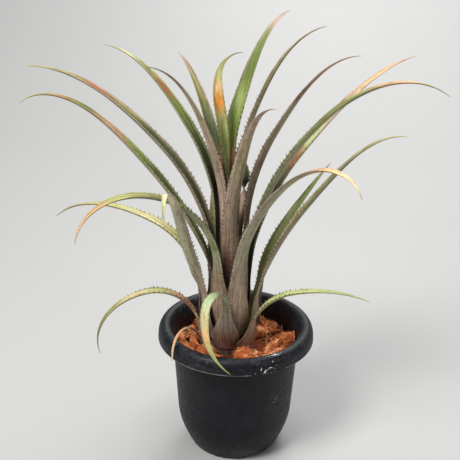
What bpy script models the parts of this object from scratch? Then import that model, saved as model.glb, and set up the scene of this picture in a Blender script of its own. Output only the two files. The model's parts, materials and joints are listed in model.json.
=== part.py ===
"""Potted bromeliad: a tubular rosette of channelled leaves standing in coir husk in a black plastic pot.

Metres, +Z up. The origin is on the ground under the middle of the pot, and the front is towards -Y.
Each leaf clasps the stock on a ring of its own, so that the sheaths nest with a gap and never touch.
"""

import math
from collections import namedtuple

import bmesh
import bpy
from mathutils import Matrix

MM = 0.001
GAP = 0.3 * MM

# Pot: an injection-moulded shell with a rolled rim, and a foot ring round a floor with drain holes.
POT_HEIGHT = 130 * MM
RIM_RADIUS = 75 * MM
MOUTH_RADIUS = 62.5 * MM
WALL = 1.8 * MM
FLOOR = 2.4 * MM
NECK_HEIGHT = 112 * MM
NECK_RADIUS = 61 * MM
HAUNCH_HEIGHT = 42 * MM
HAUNCH_RADIUS = 56.4 * MM
HAUNCH_POWER = 1.75
BODY_BANDS = 8
FOOT_RADIUS = 42.5 * MM
FOOT_RING = 4.5 * MM
FOOT_HEIGHT = 4 * MM
PAD_RADIUS = 12 * MM
DRAIN_HOLES = 6
DRAIN_CIRCLE = 25 * MM
DRAIN_RADIUS = 4 * MM
NOTCHES = 8
NOTCH_WIDTH = 9 * MM
NOTCH_HEIGHT = 2.5 * MM
TURN_STEPS = 48

# Medium: a bed of coir, with loose chips of husk in two rows on it.
BED_TOP = 104 * MM
BED_ROUND = 3 * MM
POCKET_RADIUS = 26 * MM
POCKET_FLOOR = 60 * MM
POCKET_FLARE = 2.5 * MM
CHIPS = 15
INNER_CHIPS = 6
INNER_CHIP_CIRCLE = 38 * MM
OUTER_CHIP_CIRCLE = 52 * MM
CHIP_START = math.radians(-75)
CHIP_SIZE = (15 * MM, 7.5 * MM, 6.5 * MM)
CHIP_VARIETY = 0.25
CHIP_BEVEL = 1.2 * MM
SIZE_RHYTHM = 2.4
TURN_RHYTHM = 1.7
CHIP_TURN = 12

# Plant: ring 1 is the heart of the rosette, and the last ring holds the oldest leaf. PLANT_X is its axis.
# CLASP is a sheath's arc over its ring's radius. SPLAY and BULGE lean each ring's sheaths out, in degrees.
PLANT_X = -6 * MM
RINGS = 13
RING_INNER = 4.5 * MM
RING_PITCH = 1.5 * MM
SHEATH_FOOT_TOP = 170 * MM
SHEATH_FOOT_STEP = 5.3 * MM
SHEATH_ARC = 26 * MM
CLASP = 1.8
SPLAY = 0.1
BULGE = 1.1
BULB_LENGTH = 48 * MM
LEAF_THICKNESS = 0.9 * MM
THINNEST = 0.35
FLESHY = 1.2
TIP_WIDTH = 1.6 * MM
ACROSS = 4
ALONG = 16
STEPS_EACH = 6

# Blade: the channel's arc radius as a share of its width, how late the taper comes, the neck's share of the
# full width, and the shares of the blade at which it is at its full width and has its settled angle.
CHANNEL_CURVE = 0.46
TAPER = 2.2
NECK = 0.8
FULL = 0.3
SETTLED = 0.45

# Where the sheath turns into the blade, as shares of the sheath's length, for each thing that changes there.
ANGLE_TURNS = (0.75, 1.3)
HEADING_TURNS = (0.6, 1.5)
WIDTH_TURNS = (0.4, 1.1)
CURVE_TURNS = (0.8, 1.5)
LEAF_TINTS = {
    "mauve": (0.20, 0.17, 0.11),
    "olive": (0.17, 0.20, 0.08),
    "green": (0.20, 0.32, 0.08),
    "pale": (0.42, 0.46, 0.24),
    "dry": (0.50, 0.30, 0.18),
}

# root: where the leaf stands on its ring, in degrees from +X towards +Y. heading: where its blade points.
# lean, set and droop: the blade's angle from vertical at its neck, along its middle and at its tip.
# bend: how late the droop comes. sweep: how far the heading swings by the tip. Lengths are millimetres.
Leaf = namedtuple("Leaf", "name ring root heading lean set droop bend sweep sheath length width tint")
LEAVES = [
    Leaf("leaf_heart_left", 1, 165, 160, 8, 8, 90, 5.0, -170, 110, 236, 17, "olive"),
    Leaf("leaf_heart_tall", 2, 113, 42, 7, 21, 80, 5.5, 0, 110, 282, 23, "green"),
    Leaf("leaf_inner_left", 3, 203, 205, 4, 19, 83, 5.0, 0, 85, 255, 20, "mauve"),
    Leaf("leaf_inner_back_left", 4, 122, 125, 8, 28, 70, 4.5, 0, 90, 253, 18, "mauve"),
    Leaf("leaf_inner_right", 3, 350, 3, 7, 19, 78, 4.5, 0, 110, 284, 17, "mauve"),
    Leaf("leaf_inner_front", 4, 270, 306, 10, 16, 88, 5.5, 0, 80, 230, 21, "mauve"),
    Leaf("leaf_rear_upper", 6, 74, 85, 4, 14, 60, 3.0, 0, 50, 100, 18, "mauve"),
    Leaf("leaf_upper_left", 5, 155, 159, 3, 32, 88, 4.5, 0, 85, 291, 22, "olive"),
    Leaf("leaf_upper_right", 5, 348, 340, 5, 27, 84, 5.5, 0, 95, 288, 22, "mauve"),
    Leaf("leaf_wide_left", 6, 184, 170, 6, 40, 94, 3.5, 0, 55, 321, 23, "mauve"),
    Leaf("leaf_wide_right", 6, 324, 350, 11, 30, 127, 3.7, 0, 60, 330, 23, "olive"),
    Leaf("leaf_low_left", 7, 178, 180, 22, 39, 132, 6.0, 0, 55, 305, 22, "olive"),
    Leaf("leaf_wide_back_right", 7, 25, 25, 10, 42, 80, 4.0, 0, 55, 319, 20, "mauve"),
    Leaf("leaf_front_left", 8, 235, 203, 4, 43, 174, 2.6, 0, 60, 258, 21, "olive"),
    Leaf("leaf_rear_middle", 8, 80, 90, 8, 18, 60, 3.0, 0, 50, 155, 17, "mauve"),
    Leaf("leaf_front_right", 9, 285, 320, 9, 32, 158, 4.5, 0, 60, 268, 22, "mauve"),
    Leaf("leaf_rear_left", 9, 130, 95, 4, 14, 60, 3.0, 0, 50, 140, 16, "mauve"),
    Leaf("leaf_mid_right", 10, 345, 350, 18, 34, 94, 6.5, 0, 55, 262, 21, "mauve"),
    Leaf("leaf_front_near", 10, 200, 236, 30, 20, 192, 6.0, 40, 55, 220, 18, "mauve"),
    Leaf("leaf_rear_low", 10, 75, 90, 10, 22, 60, 3.0, 0, 45, 120, 13, "mauve"),
    Leaf("leaf_mid_back_right", 11, 25, 20, 10, 31, 40, 2.0, 0, 50, 190, 19, "green"),
    Leaf("leaf_outer_left", 11, 160, 167, 8, 62, 135, 3.0, 0, 50, 237, 17, "pale"),
    Leaf("leaf_hooked", 11, 262, 222, -20, 160, 132, 1.2, 165, 44, 160, 12, "pale"),
    Leaf("leaf_outer_right", 12, 310, 342, 20, 60, 105, 1.8, 0, 35, 163, 13, "pale"),
    Leaf("leaf_bottom_left", 12, 205, 195, 17, 66, 198, 1.8, 0, 30, 181, 14, "pale"),
    Leaf("leaf_withered", 13, 200, 232, 20, 38, 190, 1.9, 30, 12, 88, 5, "dry"),
]


def smoothstep(low, high, x):
    t = min(1.0, max(0.0, (x - low) / (high - low)))
    return t * t * (3 - 2 * t)


def mix(a, b, t):
    return a + (b - a) * t


def ring_radius(ring):
    return RING_INNER + RING_PITCH * ring


def ring_height(ring):
    return SHEATH_FOOT_TOP - SHEATH_FOOT_STEP * ring


def into_blade(leaf, s, turns):
    """0 in the sheath and 1 in the blade, and between them where this turn takes place."""
    return smoothstep(turns[0] * leaf.sheath * MM, turns[1] * leaf.sheath * MM, s)


def leaf_angle(leaf, s):
    """The midrib's angle from vertical, in radians, at the distance s along it."""
    sheath, length = leaf.sheath * MM, leaf.length * MM
    bulge = BULGE * leaf.ring * math.sin(math.tau * min(1.0, s / BULB_LENGTH))
    in_sheath = SPLAY * leaf.ring**2 + bulge
    t = max(0.0, (s - sheath) / (length - sheath))
    in_blade = mix(leaf.lean, leaf.set, min(1.0, t / SETTLED)) + (leaf.droop - leaf.set) * t**leaf.bend
    return math.radians(mix(in_sheath, in_blade, into_blade(leaf, s, ANGLE_TURNS)))


def leaf_yaw(leaf, s):
    """The direction that the midrib heads in, in radians from +X."""
    sheath, length = leaf.sheath * MM, leaf.length * MM
    t = max(0.0, (s - sheath) / (length - sheath))
    facing = mix(leaf.root, leaf.heading, into_blade(leaf, s, HEADING_TURNS))
    return math.radians(facing + leaf.sweep * t**2)


def leaf_width(leaf, s):
    """The width of the leaf's arc: a broad sheath, a neck, and a blade that tapers to its tip."""
    sheath, length = leaf.sheath * MM, leaf.length * MM
    clasp = min(SHEATH_ARC, CLASP * ring_radius(leaf.ring))
    t = max(0.0, (s - sheath) / (length - sheath))
    blade = mix(leaf.width * MM, TIP_WIDTH, t**TAPER) * mix(NECK, 1.0, smoothstep(0.0, FULL, t))
    return mix(clasp, blade, into_blade(leaf, s, WIDTH_TURNS))


def leaf_stations(leaf, count):
    """The leaf's stations from base to tip: midrib, side, inward direction, width, arc radius, thickness."""
    total = count * STEPS_EACH
    length = leaf.length * MM
    radius = ring_radius(leaf.ring)
    yaw = math.radians(leaf.root)
    x, y, z = PLANT_X + radius * math.cos(yaw), radius * math.sin(yaw), ring_height(leaf.ring)
    found = []
    for i in range(total + 1):
        s = length * i / total
        angle, yaw = leaf_angle(leaf, s), leaf_yaw(leaf, s)
        tangent = (math.sin(angle) * math.cos(yaw), math.sin(angle) * math.sin(yaw), math.cos(angle))
        if i % STEPS_EACH == 0:
            inward = (-math.cos(angle) * math.cos(yaw), -math.cos(angle) * math.sin(yaw), math.sin(angle))
            side = (-math.sin(yaw), math.cos(yaw), 0.0)
            width = leaf_width(leaf, s)
            to_axis = math.hypot(x - PLANT_X, y)
            curve = mix(max(radius, to_axis), CHANNEL_CURVE * width, into_blade(leaf, s, CURVE_TURNS))
            thick = LEAF_THICKNESS * min(1.0, max(THINNEST, FLESHY * width / (leaf.width * MM)))
            found.append(((x, y, z), side, inward, width, curve, thick))
        step = length / total
        x, y, z = x + tangent[0] * step, y + tangent[1] * step, z + tangent[2] * step
    return found


def leaf_point(station, u, depth):
    """A point of the blade: u runs from -1 to 1 across it, and depth from 0 outside to 1 in the channel."""
    (x, y, z), across, up, width, curve, thick = station
    angle = u * width / 2 / curve
    reach = curve - depth * thick
    sideways = reach * math.sin(angle)
    inward = curve - reach * math.cos(angle)
    return tuple(p + a * sideways + n * inward for p, a, n in zip((x, y, z), across, up))


def material(name, colour, roughness):
    found = bpy.data.materials.get(name)
    if found is None:
        found = bpy.data.materials.new(name)
        found.use_nodes = True
        shader = found.node_tree.nodes["Principled BSDF"]
        shader.inputs["Base Color"].default_value = (*colour, 1.0)
        shader.inputs["Roughness"].default_value = roughness
        shader.inputs["Metallic"].default_value = 0.0
    return found


def add_object(name, mesh, collection, look):
    mesh.materials.append(look)
    made = bpy.data.objects.new(name, mesh)
    collection.objects.link(made)
    return made


def turned(name, profile, collection, look):
    """Turn a profile of (radius, height) about Z. It runs from the top of the axis down the outer side."""
    mesh = bpy.data.meshes.new(name)
    edges = [(i, i + 1) for i in range(len(profile) - 1)]
    mesh.from_pydata([(radius, 0.0, height) for radius, height in profile], edges, [])
    made = add_object(name, mesh, collection, look)
    screw = made.modifiers.new("turn", "SCREW")
    screw.axis = "Z"
    screw.steps = screw.render_steps = TURN_STEPS
    screw.use_merge_vertices = True
    screw.merge_threshold = 0.00001
    screw.use_smooth_shade = True
    return made


def body_radius(height):
    """The outer radius of the pot's body: a rounded foot under a wall that widens slowly."""
    if height < HAUNCH_HEIGHT:
        rise = 1 - (1 - height / HAUNCH_HEIGHT) ** HAUNCH_POWER
        return mix(FOOT_RADIUS, HAUNCH_RADIUS, rise)
    return mix(HAUNCH_RADIUS, NECK_RADIUS, (height - HAUNCH_HEIGHT) / (NECK_HEIGHT - HAUNCH_HEIGHT))


def body_heights(low, high):
    return [mix(low, high, i / BODY_BANDS) for i in range(BODY_BANDS + 1)]


def pot_profile():
    """The pot's section, from the middle of its floor over the rim to the middle of its underside."""
    floor_top = FOOT_HEIGHT + FLOOR
    rise = body_heights(floor_top + FLOOR, NECK_HEIGHT)
    inside = [(0.0, floor_top), (body_radius(floor_top) - WALL - FLOOR, floor_top)]
    inside += [(body_radius(z) - WALL, z) for z in rise]
    over = [(MOUTH_RADIUS - 2.2 * MM, 10), (MOUTH_RADIUS, 4), (MOUTH_RADIUS + 2.5 * MM, 1)]
    over += [(RIM_RADIUS - 6.5 * MM, 0), (RIM_RADIUS - 3 * MM, 1.4), (RIM_RADIUS - 0.7 * MM, 5)]
    under = [(RIM_RADIUS, 9), (RIM_RADIUS + 0.3 * MM, 14), (RIM_RADIUS - 1.5 * MM, 14)]
    under += [(RIM_RADIUS - 1.9 * MM, 9)]
    under += [(RIM_RADIUS - 2.5 * MM, 6), (RIM_RADIUS - 4.2 * MM, 3.2), (RIM_RADIUS - 6.5 * MM, 1.9)]
    under += [(MOUTH_RADIUS + 3.5 * MM, 2.8), (MOUTH_RADIUS + 1.6 * MM, 5.5), (MOUTH_RADIUS - 0.3 * MM, 11)]
    rim = [(radius, POT_HEIGHT - drop * MM) for radius, drop in over + under]
    outside = [(body_radius(z), z) for z in reversed(body_heights(0.0, NECK_HEIGHT))]
    base = [(FOOT_RADIUS - FOOT_RING, 0.0), (FOOT_RADIUS - FOOT_RING, FOOT_HEIGHT)]
    base += [(PAD_RADIUS, FOOT_HEIGHT), (PAD_RADIUS, 0.0), (0.0, 0.0)]
    return inside + rim + outside + base


def cut_away(solid, cutter):
    """Take the cutter, which is only a guide, out of the solid."""
    cutter.hide_render = True
    cutter.display_type = "WIRE"
    cut = solid.modifiers.new(cutter.name, "BOOLEAN")
    cut.operation = "DIFFERENCE"
    cut.solver = "EXACT"
    cut.object = cutter


def make_drain_cutter(cutters):
    """Round holes through the pot's floor, and notches under the foot ring that let the water out."""
    work = bmesh.new()
    for i in range(DRAIN_HOLES):
        place = Matrix.Rotation(math.tau * i / DRAIN_HOLES, 4, "Z")
        place = place @ Matrix.Translation((DRAIN_CIRCLE, 0.0, FOOT_HEIGHT + FLOOR / 2))
        bmesh.ops.create_cone(work, cap_ends=True, segments=16, radius1=DRAIN_RADIUS, radius2=DRAIN_RADIUS,
                              depth=3 * FLOOR, matrix=place)
    for i in range(NOTCHES):
        place = Matrix.Rotation(math.tau * (i + 0.5) / NOTCHES, 4, "Z")
        place = place @ Matrix.Translation((FOOT_RADIUS, 0.0, 0.0))
        size = Matrix.Diagonal((4 * FOOT_RING, NOTCH_WIDTH, 2 * NOTCH_HEIGHT, 1.0))
        bmesh.ops.create_cube(work, size=1.0, matrix=place @ size)
    mesh = bpy.data.meshes.new("drain_cutter")
    work.to_mesh(mesh)
    work.free()
    cutter = bpy.data.objects.new("drain_cutter", mesh)
    cutters.objects.link(cutter)
    return cutter


def make_pot(collection, cutters):
    pot = turned("pot", pot_profile(), collection, material("black_plastic", (0.022, 0.023, 0.026), 0.5))
    cut_away(pot, make_drain_cutter(cutters))


def make_bed(collection, cutters):
    """The medium: it fills the pot from the floor up, with a pocket for the foot of the stock."""
    low = FOOT_HEIGHT + FLOOR + GAP
    clear = WALL + GAP
    sides = [(body_radius(z) - clear, z) for z in reversed(body_heights(low + FLOOR, BED_TOP - BED_ROUND))]
    profile = [(0.0, BED_TOP), (sides[0][0] - BED_ROUND, BED_TOP)] + sides
    profile += [(body_radius(low) - clear - FLOOR, low), (0.0, low)]
    bed = turned("coir_bed", profile, collection, material("coir", (0.21, 0.075, 0.028), 0.95))
    mouth = POCKET_RADIUS + 2 * POCKET_FLARE
    pocket = [(0.0, BED_TOP + POCKET_FLARE), (mouth, BED_TOP + POCKET_FLARE)]
    pocket += [(POCKET_RADIUS, BED_TOP - POCKET_FLARE), (POCKET_RADIUS, POCKET_FLOOR), (0.0, POCKET_FLOOR)]
    cutter = turned("pocket_cutter", pocket, cutters, material("cutter", (1.0, 0.0, 0.0), 0.5))
    cutter.location.x = PLANT_X
    cut_away(bed, cutter)


def make_stock(collection):
    """The stock that the leaves stand round: a root in the bed's pocket under a cone inside the sheaths."""
    foot = ring_radius(RINGS) - LEAF_THICKNESS - 2 * GAP
    head = ring_radius(0) - LEAF_THICKNESS - 2 * GAP
    low, high = ring_height(RINGS), ring_height(0)
    shoulder = (mix(head, foot, 0.05), mix(high, low, 0.05))
    profile = [(0.0, high - GAP), (head * 0.7, high - GAP), shoulder, (foot, low), (foot, low - GAP)]
    profile += [(POCKET_RADIUS - GAP, low - GAP), (POCKET_RADIUS - GAP, POCKET_FLOOR + GAP)]
    profile += [(0.0, POCKET_FLOOR + GAP)]
    stock = turned("stem_stock", profile, collection, material("stock", (0.12, 0.07, 0.04), 0.8))
    stock.location.x = PLANT_X


def make_leaf(leaf, collection):
    """A leaf: a flat slab bent onto the leaf's stations, which turns its faces about."""
    stations = leaf_stations(leaf, ALONG)
    work = bmesh.new()
    bmesh.ops.create_grid(work, x_segments=ACROSS, y_segments=ALONG, size=1.0)
    bmesh.ops.solidify(work, geom=work.faces[:], thickness=1.0)
    bmesh.ops.recalc_face_normals(work, faces=work.faces[:])
    base = min(vert.co.z for vert in work.verts)
    for vert in work.verts:
        station = stations[round((vert.co.y + 1) / 2 * ALONG)]
        vert.co = leaf_point(station, vert.co.x, vert.co.z - base)
    bmesh.ops.reverse_faces(work, faces=work.faces[:])
    mesh = bpy.data.meshes.new(leaf.name)
    work.to_mesh(mesh)
    work.free()
    mesh.shade_smooth()
    mesh.set_sharp_from_angle(angle=math.radians(50))
    tint = LEAF_TINTS[leaf.tint]
    add_object(leaf.name, mesh, collection, material("leaf_" + leaf.tint, tint, 0.6))


def make_chip(index, collection):
    """A chip of coconut husk that lies on the bed, turned and sized by its place in the two rows."""
    inner = index < INNER_CHIPS
    place, count = (index, INNER_CHIPS) if inner else (index - INNER_CHIPS, CHIPS - INNER_CHIPS)
    around = CHIP_START + math.tau * place / count
    out = INNER_CHIP_CIRCLE if inner else OUTER_CHIP_CIRCLE
    vary = [1 + CHIP_VARIETY * math.sin(SIZE_RHYTHM * index + side) for side in range(3)]
    length, width, height = (side * factor for side, factor in zip(CHIP_SIZE, vary))
    work = bmesh.new()
    bmesh.ops.create_cube(work, size=1.0, matrix=Matrix.Diagonal((length, width, height, 1.0)))
    bmesh.ops.bevel(work, geom=work.edges[:], offset=CHIP_BEVEL, segments=1, affect="EDGES")
    name = f"husk_chip_{index + 1:02d}"
    mesh = bpy.data.meshes.new(name)
    work.to_mesh(mesh)
    work.free()
    chip = add_object(name, mesh, collection, material("husk", (0.34, 0.12, 0.04), 0.9))
    centre_x = 0.5 * PLANT_X if inner else 0.0
    chip.location = (centre_x + out * math.cos(around), out * math.sin(around), BED_TOP + GAP + height / 2)
    chip.rotation_euler.z = around + math.radians(90 + CHIP_TURN * math.sin(TURN_RHYTHM * index))


def main():
    for made in list(bpy.data.objects):
        bpy.data.objects.remove(made, do_unlink=True)
    plant = bpy.data.collections.new("potted_bromeliad")
    cutters = bpy.data.collections.new("cutters")
    for collection in (plant, cutters):
        bpy.context.scene.collection.children.link(collection)
    make_pot(plant, cutters)
    make_bed(plant, cutters)
    make_stock(plant)
    for leaf in LEAVES:
        make_leaf(leaf, plant)
    for index in range(CHIPS):
        make_chip(index, plant)


main()
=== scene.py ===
"""Looks of a potted bromeliad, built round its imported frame.

Metres, +Z up, with the origin on the ground under the middle of the pot and the front towards -Y.
"""

import json
import math
import random
from collections import namedtuple

import bmesh
import bpy
from bpy.props import FloatProperty, FloatVectorProperty, IntProperty, PointerProperty
from mathutils import Matrix, Vector, noise

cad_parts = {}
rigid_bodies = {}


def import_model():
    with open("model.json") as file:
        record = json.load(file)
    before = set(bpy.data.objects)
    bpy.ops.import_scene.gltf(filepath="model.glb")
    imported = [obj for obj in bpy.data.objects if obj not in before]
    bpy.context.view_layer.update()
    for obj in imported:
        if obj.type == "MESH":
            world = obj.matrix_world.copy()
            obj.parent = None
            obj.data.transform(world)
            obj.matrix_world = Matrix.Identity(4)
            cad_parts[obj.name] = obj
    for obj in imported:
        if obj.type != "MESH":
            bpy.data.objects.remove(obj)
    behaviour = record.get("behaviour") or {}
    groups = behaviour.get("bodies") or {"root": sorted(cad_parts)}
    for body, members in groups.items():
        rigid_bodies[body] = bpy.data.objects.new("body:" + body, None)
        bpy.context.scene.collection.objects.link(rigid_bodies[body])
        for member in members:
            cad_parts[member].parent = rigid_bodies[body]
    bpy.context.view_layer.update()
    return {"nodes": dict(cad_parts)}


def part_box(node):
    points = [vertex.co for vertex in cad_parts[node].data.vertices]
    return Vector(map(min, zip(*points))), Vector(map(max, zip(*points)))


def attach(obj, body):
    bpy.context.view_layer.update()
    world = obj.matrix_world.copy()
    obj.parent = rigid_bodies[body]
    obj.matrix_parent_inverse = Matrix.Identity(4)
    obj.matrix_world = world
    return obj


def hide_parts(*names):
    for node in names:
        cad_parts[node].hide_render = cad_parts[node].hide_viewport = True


bl_info = {
    "name": "Potted bromeliad",
    "version": (1, 0, 0),
    "blender": (4, 5, 0),
    "location": "View3D > Sidebar > Bromeliad",
    "description": "Builds a potted bromeliad: pot, husk medium and toothed leaves, and a studio",
    "category": "Object",
}

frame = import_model()

MM = 0.001
BODY = "root"


def srgb(red, green, blue):
    """A colour given as 0 to 255 on a screen, as linear light."""
    def linear(value):
        value /= 255
        return value / 12.92 if value <= 0.04045 else ((value + 0.055) / 1.055) ** 2.4
    return linear(red), linear(green), linear(blue)


def smoothstep(low, high, x):
    t = min(1.0, max(0.0, (x - low) / (high - low)))
    return t * t * (3 - 2 * t)


def mix(a, b, t):
    return a + (b - a) * t


def mix_all(a, b, t):
    return tuple(mix(p, q, t) for p, q in zip(a, b))


# ---- pot and medium sizes

POT_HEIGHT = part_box("pot")[1].z
RIM_RADIUS = 75 * MM
MOUTH_RADIUS = 62.5 * MM
WALL = 1.8 * MM
FLOOR = 2.4 * MM
NECK_HEIGHT = 112 * MM
NECK_RADIUS = 61 * MM
HAUNCH_HEIGHT = 42 * MM
HAUNCH_RADIUS = 56.4 * MM
HAUNCH_POWER = 1.75
FOOT_RADIUS = 42.5 * MM
FOOT_RING = 4.5 * MM
FOOT_HEIGHT = 4 * MM
PAD_RADIUS = 12 * MM
DRAIN_HOLES = 6
DRAIN_CIRCLE = 25 * MM
DRAIN_RADIUS = 4 * MM
NOTCHES = 8
NOTCH_WIDTH = 9 * MM
NOTCH_HEIGHT = 2.5 * MM
FIBRE_STEPS = 6
FIBRE_END = 0.35
BED_REACH = 57.5 * MM
BED_FOOT = 94 * MM
BED_SHADE = 0.45
BANK = 9 * MM
HOLLOW = 3 * MM
CHUNK_STRETCH = (1.12, 1.35, 1.3)
CHUNK_SUNK = 0.42
FINE_CHUNK = 16 * MM
CHUNK_FIBRES = 100
CRUMB_FIBRES = 36
LONG_FIBRES = 70
LONG_ON_RIGHT = 45
BED_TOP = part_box("coir_bed")[1].z

# ---- leaf sizes

PLANT_X = -6 * MM
RING_INNER = 4.5 * MM
RING_PITCH = 1.5 * MM
SHEATH_FOOT_TOP = 170 * MM
SHEATH_FOOT_STEP = 5.3 * MM
SHEATH_ARC = 26 * MM
CLASP = 1.8
SPLAY = 0.1
BULGE = 1.1
BULB_LENGTH = 48 * MM
CHANNEL_CURVE = 0.46
TAPER = 2.2
NECK = 0.8
FULL = 0.3
SETTLED = 0.45

# Where the sheath turns into the blade, as shares of the sheath's length, for each thing that changes there.
ANGLE_TURNS = (0.75, 1.3)
HEADING_TURNS = (0.6, 1.5)
WIDTH_TURNS = (0.4, 1.1)
CURVE_TURNS = (0.8, 1.5)
THINNEST = 0.35
FLESHY = 1.2
STEPS_EACH = 2
LEAF_THICKNESS = 0.9 * MM
TIP_WIDTH = 1.6 * MM
LONG_RIPPLE = 0.16 * MM
SHORT_RIPPLE = 0.12 * MM
TOOTH_POINT = 0.03 * MM
TOOTH_FOOT = 0.32
TOOTH_SUNK = 0.36
TOOTH_SHADE = 0.75
EDGE_SHARE = 0.6
SHADOW_SHARE = 0.3
LEAF_ACROSS = 14
LEAF_ALONG = 150

# root: where the leaf stands on its ring, in degrees from +X towards +Y. heading: where its blade points.
# lean, set and droop: the blade's angle from vertical at its neck, along its middle and at its tip.
# bend: how late the droop comes. sweep: how far the heading swings by the tip. Lengths are millimetres.
Leaf = namedtuple("Leaf", "name ring root heading lean set droop bend sweep sheath length width tint")
LEAVES = [Leaf(*row) for row in (
    ("heart_left", 1, 165, 160, 8, 8, 90, 5.0, -170, 110, 236, 17, "olive"),
    ("heart_tall", 2, 113, 42, 7, 21, 80, 5.5, 0, 110, 282, 23, "green"),
    ("inner_left", 3, 203, 205, 4, 19, 83, 5.0, 0, 85, 255, 20, "mauve"),
    ("inner_back_left", 4, 122, 125, 8, 28, 70, 4.5, 0, 90, 253, 18, "mauve"),
    ("inner_right", 3, 350, 3, 7, 19, 78, 4.5, 0, 110, 284, 17, "mauve"),
    ("inner_front", 4, 270, 306, 10, 16, 88, 5.5, 0, 80, 230, 21, "mauve"),
    ("rear_upper", 6, 74, 85, 4, 14, 60, 3.0, 0, 50, 100, 18, "mauve"),
    ("upper_left", 5, 155, 159, 3, 32, 88, 4.5, 0, 85, 291, 22, "olive"),
    ("upper_right", 5, 348, 340, 5, 27, 84, 5.5, 0, 95, 288, 22, "mauve"),
    ("wide_left", 6, 184, 170, 6, 40, 94, 3.5, 0, 55, 321, 23, "mauve"),
    ("wide_right", 6, 324, 350, 11, 30, 127, 3.7, 0, 60, 330, 23, "olive"),
    ("low_left", 7, 178, 180, 22, 39, 132, 6.0, 0, 55, 305, 22, "olive"),
    ("wide_back_right", 7, 25, 25, 10, 42, 80, 4.0, 0, 55, 319, 20, "mauve"),
    ("front_left", 8, 235, 203, 4, 43, 174, 2.6, 0, 60, 258, 21, "olive"),
    ("rear_middle", 8, 80, 90, 8, 18, 60, 3.0, 0, 50, 155, 17, "mauve"),
    ("front_right", 9, 285, 320, 9, 32, 158, 4.5, 0, 60, 268, 22, "mauve"),
    ("rear_left", 9, 130, 95, 4, 14, 60, 3.0, 0, 50, 140, 16, "mauve"),
    ("mid_right", 10, 345, 350, 18, 34, 94, 6.5, 0, 55, 262, 21, "mauve"),
    ("front_near", 10, 200, 236, 30, 20, 192, 6.0, 40, 55, 220, 18, "mauve"),
    ("rear_low", 10, 75, 90, 10, 22, 60, 3.0, 0, 45, 120, 13, "mauve"),
    ("mid_back_right", 11, 25, 20, 10, 31, 40, 2.0, 0, 50, 190, 19, "green"),
    ("outer_left", 11, 160, 167, 8, 62, 135, 3.0, 0, 50, 237, 17, "pale"),
    ("hooked", 11, 262, 222, -20, 160, 132, 1.2, 165, 44, 160, 12, "pale"),
    ("outer_right", 12, 310, 342, 20, 60, 105, 1.8, 0, 35, 163, 13, "pale"),
    ("bottom_left", 12, 205, 195, 17, 66, 198, 1.8, 0, 30, 181, 14, "pale"),
    ("withered", 13, 200, 232, 20, 38, 190, 1.9, 30, 12, 88, 5, "dry"),
)]

PALETTE = {name: srgb(*levels) for name, levels in {
    "bark": (152, 122, 106), "plum": (162, 128, 114), "wine": (134, 72, 62),
    "mauve": (180, 156, 132), "blush": (200, 172, 154), "taupe": (174, 158, 122),
    "umber": (154, 126, 102), "sage": (168, 166, 132), "ash": (150, 142, 130),
    "olive": (136, 134, 76), "dim": (34, 34, 18), "moss": (56, 72, 24),
    "leaf": (104, 124, 40), "fern": (148, 166, 88), "pea": (184, 198, 134),
    "lime": (172, 176, 112), "straw": (204, 196, 148), "cream": (234, 222, 184),
    "tan": (220, 180, 124), "amber": (226, 148, 50), "rust": (148, 88, 42),
    "salmon": (228, 170, 142), "pink": (206, 154, 132), "rose": (166, 82, 74),
    "mint": (186, 208, 168),
}.items()}

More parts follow.
